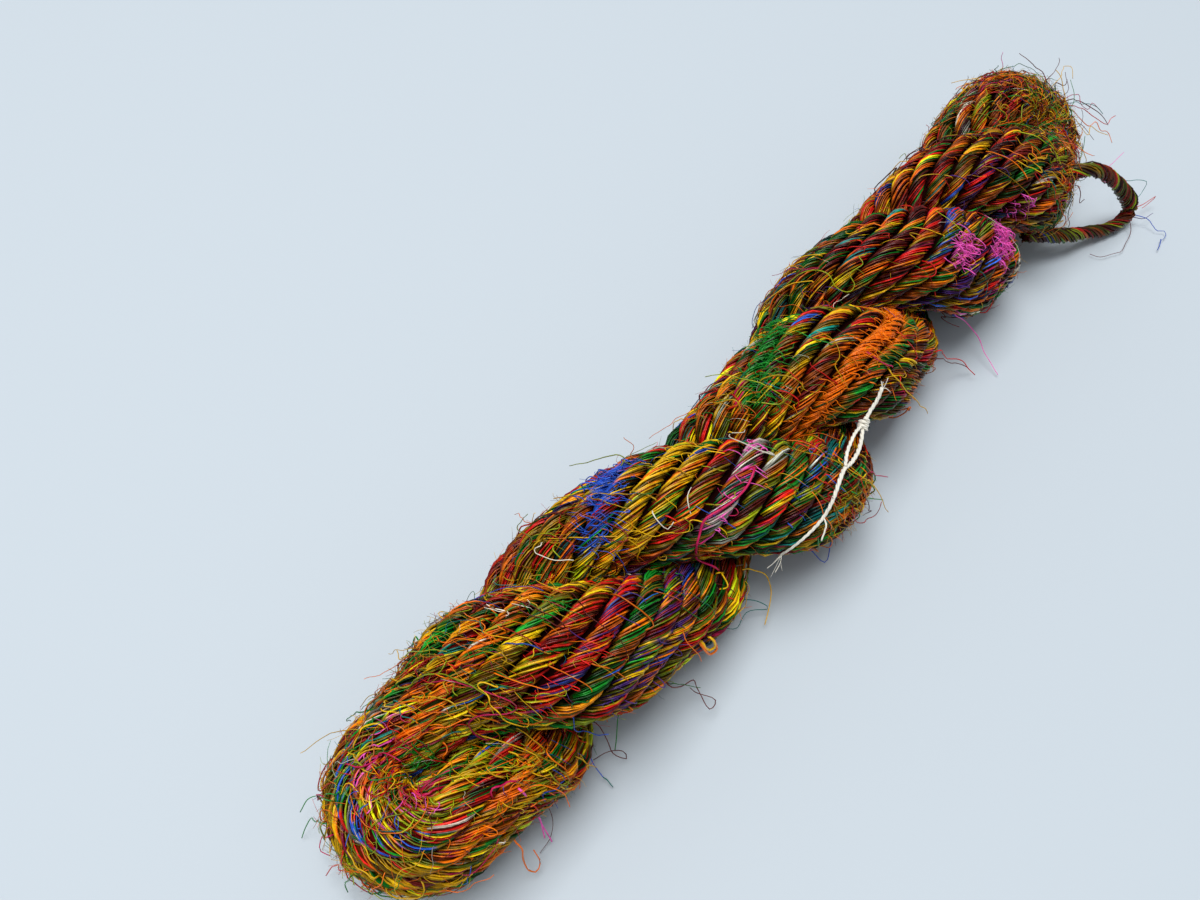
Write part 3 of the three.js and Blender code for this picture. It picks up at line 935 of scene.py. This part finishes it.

# %% [markdown]
# The longest stray threads are the ones that the eye catches, so they are laid one by one: curls
# beside the right edge, a tangle at the far fold and one magenta thread that crosses the middle
# and hangs off the side. A thread that doesn't start on the table starts inside the nearest yarn.

# %% Stray threads laid one by one
STRAYS = [
    # dye, radius, route
    ("teal", 0.14, [(-85.1, -15.5, 26.1), (-77.6, -15.8, 14), (-72.3, -18.3, 8),
        (-69.2, -20.8, 5), (-68.1, -23.4, 3), (-72.3, -20.4, 3), (-76.3, -20.5, 2),
        (-78.4, -17.4, 2)]),
    ("yellow", 0.18, [(-77.1, -13.6, 21.9), (-73.2, -13.9, 16), (-67, -17.2, 12),
        (-64.4, -20.1, 8), (-67.5, -23.3, 4), (-71.8, -25, 2)]),
    ("maroon", 0.15, [(-101.4, -18.9, 16.6), (-98.6, -19.8, 12), (-95.1, -20.8, 10),
        (-94.9, -22.7, 7), (-96.1, -26.4, 4), (-93.3, -25.9, 3), (-94.4, -22.1, 3),
        (-95.4, -20.7, 6)]),
    ("maroon", 0.14, [(-114.3, -10.2, 9.4), (-114.6, -12.5, 8), (-115.6, -15.9, 4),
        (-114.7, -18.8, 3), (-114, -17.2, 3), (-116.1, -14.9, 4), (-118.8, -13.2, 2)]),
    ("blue", 0.17, [(-119.8, -9, 18.1), (-118.7, -10.6, 8), (-119.7, -13.9, 4),
        (-120.2, -16.9, 2)]),
    ("teal", 0.16, [(-120.2, -16.9, 2), (-120.2, -18.2, 1.5), (-120.3, -19.5, 1)]),
    ("green", 0.15, [(-114.6, -14.9, 30.2), (-110.2, -12.8, 12), (-111.9, -14, 6),
        (-114.4, -15.5, 2)]),
    ("pink", 0.24, [(-136, -11.5, 26.4), (-134.8, -11, 14), (-135, -12.7, 9), (-135.5, -14.2, 6),
        (-135.7, -15.4, 3), (-136, -16.6, 2)]),
    ("pink", 0.20, [(-135.9, -11.8, 25.6), (-134.8, -11.5, 13), (-135.3, -13.6, 8),
        (-136.5, -15.2, 3)]),
    ("orange", 0.20, [(-141.6, -13.2, 13.8), (-141.6, -14.9, 12), (-142.4, -15.8, 7),
        (-142.7, -16.8, 4), (-142.2, -18.1, 3), (-140.4, -17.4, 4), (-140, -15.8, 8)]),
    ("maroon", 0.10, [(-133.7, -13.7, 21.7), (-132.5, -12.8, 8), (-133.6, -14.7, 4),
        (-136.1, -15.9, 2), (-138.9, -15.9, 1)]),
    ("orange", 0.22, [(-131.7, -9.3, 26.8), (-129.9, -9.3, 16), (-127, -11, 10),
        (-124.2, -13.4, 6)]),
    ("orange", 0.20, [(-133.1, -10.1, 27.5), (-129.8, -10.4, 15), (-127.6, -12, 9),
        (-126.4, -13.9, 4)]),
    ("magenta", 0.30, [(-62.5, -9.9, 40.6), (-66.4, -10.9, 40), (-70.3, -10.7, 39.8),
        (-73.9, -9.6, 39.3), (-77.2, -8.3, 38.6), (-79, -8.5, 35.6), (-80.5, -9.1, 32.9),
        (-78.4, -9.6, 24.5), (-76.4, -12.9, 22), (-70.6, -13.3, 8), (-70.3, -15.8, 4),
        (-73.7, -17.5, 2)]),
    ("blue", 0.17, [(-64.4, -21.5, 32), (-52.3, -20.7, 10), (-50, -23.9, 4), (-49.7, -27.6, 2),
        (-45.6, -26.4, 3), (-41.6, -24.7, 6)]),
    ("pink", 0.15, [(28.4, -19.2, 14.3), (32.9, -21.2, 10), (34, -27, 5), (31.5, -30.9, 3),
        (29.4, -35.7, 1)]),
    ("red", 0.17, [(10.6, -22.2, 18.5), (17.6, -23.4, 10), (23.3, -26.3, 6), (23.7, -28.6, 4),
        (24.6, -30.9, 2)]),
    ("maroon", 0.15, [(7.6, -23.2, 18.8), (17.8, -24.5, 9), (23.9, -27.6, 4), (26, -29.7, 1)]),
    ("orange", 0.15, [(-24.3, -17.5, 35.8), (-12.4, -16.4, 22), (-4.5, -20.2, 16),
        (-2, -23.5, 12)]),
    ("magenta", 0.15, [(-34.7, -26.5, 21), (-30.8, -27.2, 16), (-26.8, -29, 12)]),
    ("green", 0.15, [(-46.2, -27.2, 27.4), (-34.1, -26.7, 10), (-27.5, -30.4, 4)]),
    ("maroon", 0.13, [(118, -1.5, 32), (124.6, -0.9, 31), (129.6, 0, 30), (133, 1, 29)]),
    ("yellow", 0.11, [(118, -4, 32), (126.3, -2.3, 30), (131.7, -2.1, 28), (132.3, -3.8, 28),
        (130.3, -5.8, 26)]),
    ("maroon", 0.17, [(108.3, -9.2, 31.3), (120.6, -11.2, 26), (123.3, -14.8, 24),
        (125.3, -17.5, 22), (126.8, -19.7, 20), (127.5, -21.7, 18)]),
    ("red", 0.15, [(108.3, -10.4, 30.5), (120.9, -13.3, 24), (124.2, -17.1, 21), (127.6, -21, 18),
        (131.2, -21.2, 18), (133.6, -21.8, 18)]),
    ("teal", 0.12, [(108.4, -9.9, 30.8), (120.5, -13.5, 26), (124.5, -16.3, 24),
        (125.2, -19.1, 22)]),
    ("orange", 0.15, [(112.3, -11.2, 27.3), (117.9, -13.6, 23), (120.4, -17.2, 20),
        (123.8, -18.3, 20), (123.5, -20.7, 18), (127.3, -22.7, 16), (126, -25.4, 14)]),
    ("yellow", 0.13, [(111.8, -13.3, 25.7), (116.8, -16.6, 20), (118.8, -18.7, 18),
        (121.9, -17.7, 19), (123.8, -20.4, 17), (127.5, -23.1, 15)]),
    ("yellow", 0.13, [(105.5, -15, 26.9), (116.9, -16.3, 18), (117.8, -19, 14), (117, -20.5, 10)]),
    ("magenta", 0.12, [(113, -8.4, 29.3), (121.9, -10.3, 27), (120.7, -12.3, 25),
        (122.7, -14.9, 23), (125.2, -14.7, 24), (126.7, -17.6, 22)]),
    ("maroon", 0.12, [(105.5, -12.7, 27.9), (115.9, -13.9, 20), (119.3, -15, 20),
        (120.8, -17.3, 18), (124, -20.4, 14)]),
    ("pink", 0.11, [(110.5, -27.1, 12), (113.2, -28.1, 13), (116.6, -29.1, 14), (122.3, -30, 15)]),
    ("teal", 0.11, [(118.3, -33.6, 8), (121.2, -35.7, 8), (123.1, -38.1, 8), (123.5, -40.1, 8),
        (123.5, -40.4, 5), (120.5, -40.2, 3)]),
    ("red", 0.13, [(113.3, -39.8, 4), (117, -42.2, 4), (121.7, -43.7, 4), (124, -44.4, 4),
        (123.8, -44.4, 3), (119.4, -43, 2)]),
    ("violet", 0.12, [(109.8, -40.4, 4), (112, -42.9, 3), (113.9, -45.3, 3), (117.7, -46.5, 3)]),
    ("blue", 0.12, [(113.6, -45.7, 3), (113.1, -48, 2), (112.9, -50.4, 1), (114.3, -52.2, 1),
        (112.4, -53.2, 1), (109.6, -52.6, 1)]),
    ("blue", 0.15, [(110.2, -52.4, 1), (107.4, -52.8, 1), (104.8, -53.2, 1)]),
    ("maroon", 0.11, [(109, -41.6, 4), (107.3, -43.8, 2), (103.1, -44.6, 1), (98.3, -44.8, 1),
        (95.7, -43.6, 1), (91.2, -40.7, 1), (90.6, -37.8, 1)]),
    ("maroon", 0.10, [(82.6, -21.1, 32.5), (102.9, -15.7, 22), (109.9, -15.4, 22),
        (114.6, -16.9, 20)]),
    ("white", 0.15, [(-78.1, -5.6, 38.8), (-76.7, -3.5, 41), (-74.3, -2.8, 41)]),
    ("white", 0.15, [(-82.6, 0.7, 39.3), (-83.4, -0.8, 39), (-83.2, -2.6, 37.6),
        (-82.7, -3.6, 36.9), (-81.3, -3.8, 38.1)]),
    ("yellow", 0.35, [(-90.6, -19.3, 19.1), (-90.5, -20, 18), (-89.9, -20.8, 16),
        (-89.1, -21.1, 17), (-89.1, -20.3, 20), (-89.2, -19.3, 19.2)]),
    ("orange", 0.35, [(-91.2, -19.2, 19), (-91, -20, 17), (-89.8, -21.2, 14), (-88.4, -21.6, 15),
        (-88.4, -20.5, 18)]),
    ("green", 0.14, [(-161, 13.1, 24.6), (-161.9, 21.3, 8), (-163.6, 22.6, 4), (-165.7, 22.7, 1)]),
    ("green", 0.14, [(-158, 13.7, 29), (-158.4, 21.9, 12), (-160.1, 24.5, 8), (-162.6, 25.1, 5)]),
    ("red", 0.15, [(-164.1, 6.1, 19.1), (-165, 11.7, 8), (-167.3, 13.2, 3)]),
    ("green", 0.16, [(-164.2, 4.5, 19.1), (-166, 8.4, 6), (-166.7, 7.8, 3)]),
    ("magenta", 0.15, [(-162.2, 10.7, 24.5), (-163.1, 17.1, 8), (-164.9, 16.9, 5),
        (-164.4, 14.9, 4)]),
]


STRAY_SPACING, STRAY_WANDER, STRAY_TAPER = 1.0, (4, 0.35), 0.3
STRAY_SHADES = (0.8, 1.0)
anchors = np.concatenate([yarn_line[outside], loop_line])


def stray(number, dye, radius, route):
    """One loose thread along its own route."""
    if route[0][2] > OFF_TABLE:
        off_start = np.linalg.norm(anchors - route[0], axis=1)
        route = [anchors[off_start.argmin()]] + route
    line = curve_through(route, STRAY_SPACING)
    t = np.linspace(0, 1, len(line))
    bow = np.stack([wander(len(line), *STRAY_WANDER)[0] for _ in range(3)], 1)
    bow = bow * np.sin(math.pi * t)[:, None]
    return tubes(
        f"stray_{number}_{dye}",
        (line + bow)[None],
        (radius * (1 - STRAY_TAPER * t))[None],
        np.clip(DYES[dye] * rng.uniform(*STRAY_SHADES), 0, 1),
        np.tile([0.3, 0.5, 0.8], (1, len(line), 1)),
        sides=4,
    )


stray_pieces = [stray(number, *row) for number, row in enumerate(STRAYS, 1)]
print(len(stray_pieces), "stray threads")

# %% [markdown]
# The thread is silky: banana fibre takes dye deeply and shines where it is smooth. One small
# class lets the shader maths be written as sums, so each finish reads as a formula. All the fine
# change goes into colour, roughness and bump, which keep when the looks are baked.

# %% Shader maths
PATCH_NOISE, FIBRE_NOISE = (700.0, 2.0), (4200.0, 1.0)
FIBRE_HEIGHT = 0.2 * MM
ROUGHER_PATCHES = 0.25


class Value:
    """A socket of a shader, which can be added to and multiplied."""

    def __init__(self, tree, socket):
        self.tree, self.socket = tree, socket

    def node(self, kind, settings, inputs, output=0):
        """A new node: its settings first, then its inputs, by name or number."""
        made = self.tree.nodes.new(kind)
        for key, value in settings.items():
            setattr(made, key, value)
        for key, value in inputs.items():
            if isinstance(value, Value):
                self.tree.links.new(value.socket, made.inputs[key])
            else:
                made.inputs[key].default_value = value
        return Value(self.tree, made.outputs[output])

    def math(self, operation, first, second):
        return self.node("ShaderNodeMath", {"operation": operation}, {0: first, 1: second})

    def __add__(self, other):
        return self.math("ADD", self, other)

    def __mul__(self, other):
        return self.math("MULTIPLY", self, other)

    def __rsub__(self, other):
        return self.math("SUBTRACT", other, self)

    __radd__ = __add__
    __rmul__ = __mul__


def finish_of(name, **constants):
    """A new material, its Principled node and a Value to start the maths from."""
    material = bpy.data.materials.new(name)
    material.use_nodes = True
    tree = material.node_tree
    shader = tree.nodes["Principled BSDF"]
    for key, value in constants.items():
        shader.inputs[key.replace("_", " ")].default_value = value
    place = tree.nodes.new("ShaderNodeTexCoord").outputs["Object"]
    return material, shader, Value(tree, place)


def fibre_finish(name, rough, uneven, bump, **constants):
    """A finish for threads: the colour of their dye attribute, painted shade included, a little
    uneven, over fine fibres.
    """
    material, shader, place = finish_of(name, **constants)
    dye = place.node("ShaderNodeAttribute", {"attribute_name": "dye"}, {})
    patches, fibres = [
        place.node("ShaderNodeTexNoise", {}, {"Vector": place, "Scale": scale, "Detail": detail})
        for scale, detail in (PATCH_NOISE, FIBRE_NOISE)
    ]
    strength = (1 - uneven / 2) + uneven * patches
    color = place.node("ShaderNodeVectorMath", {"operation": "SCALE"}, {0: dye, "Scale": strength})
    relief = place.node(
        "ShaderNodeBump", {}, {"Strength": bump, "Distance": FIBRE_HEIGHT, "Height": fibres}
    )
    links = place.tree.links
    links.new(color.socket, shader.inputs["Base Color"])
    links.new((rough + ROUGHER_PATCHES * patches).socket, shader.inputs["Roughness"])
    links.new(relief.socket, shader.inputs["Normal"])
    return material


silky_thread = fibre_finish("silky_thread", 0.22, 0.5, 0.25, Specular_IOR_Level=0.3)
deep_yarn = fibre_finish("deep_yarn", 0.7, 0.8, 0.5, Specular_IOR_Level=0.05)
cotton_string = fibre_finish("cotton_string", 0.62, 0.2, 0.4, Sheen_Weight=0.2)
print("three thread finishes")

# %% [markdown]
# Every piece lies still on the table with the skein, so all of them ride on its root. The yarn
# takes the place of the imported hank, and the two free cords take the places of their own solids.

# %% Dress and attach
string_pieces = [tie_string] + tie_dressing
yarn_pieces = turn_pieces + [yarn_core, slipped_turn, slipped_core] + inner_pieces
yarn_pieces += loose_pieces + stray_pieces
deep_pieces = [yarn_core, slipped_core] + inner_pieces
for piece in yarn_pieces + string_pieces:
    is_string = piece in string_pieces
    yarn_finish = deep_yarn if piece in deep_pieces else silky_thread
    piece.data.materials.append(cotton_string if is_string else yarn_finish)
    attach(piece, "root")
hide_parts("hank")
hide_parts("turn_loop")
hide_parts("tie_tail", "tie_tip")
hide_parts("tie_knot")
print(len(yarn_pieces) + len(string_pieces), "pieces")

# %% [markdown]
# The skein lies on a plain, pale, slightly blue table. A large soft light hangs high over its
# left side, tipped towards it, and an even room light fills the shadows.

# %% Table and light
TABLE_COLOR = (0.50, 0.56, 0.61, 1)
TABLE_SIZE, TABLE_ROUGHNESS = 4, 0.7
ROOM_COLOR, ROOM_STRENGTH = (0.93, 0.96, 1.0, 1), 0.42
LIGHT_PLACE, LIGHT_TIP = (-0.15, 0.3, 2.4), math.radians(-7)
LIGHT_SIZE, LIGHT_POWER = 1.5, 60
bpy.ops.mesh.primitive_plane_add(size=TABLE_SIZE, location=(0.0, 0.0, 0.0))
table = bpy.context.object
table.name = "table"
table_top, _, _ = finish_of("table_top", Base_Color=TABLE_COLOR, Roughness=TABLE_ROUGHNESS)
table.data.materials.append(table_top)
bpy.ops.object.light_add(type="AREA", location=LIGHT_PLACE, rotation=(LIGHT_TIP, 0, 0))
key_light = bpy.context.object
key_light.data.shape = "RECTANGLE"
key_light.data.size = LIGHT_SIZE
key_light.data.size_y = LIGHT_SIZE
key_light.data.energy = LIGHT_POWER
room = bpy.data.worlds.new("room")
bpy.context.scene.world = room
room.use_nodes = True
background = room.node_tree.nodes["Background"]
background.inputs["Color"].default_value = ROOM_COLOR
background.inputs["Strength"].default_value = ROOM_STRENGTH
bpy.context.scene.view_settings.view_transform = "Standard"
print("table and light set")
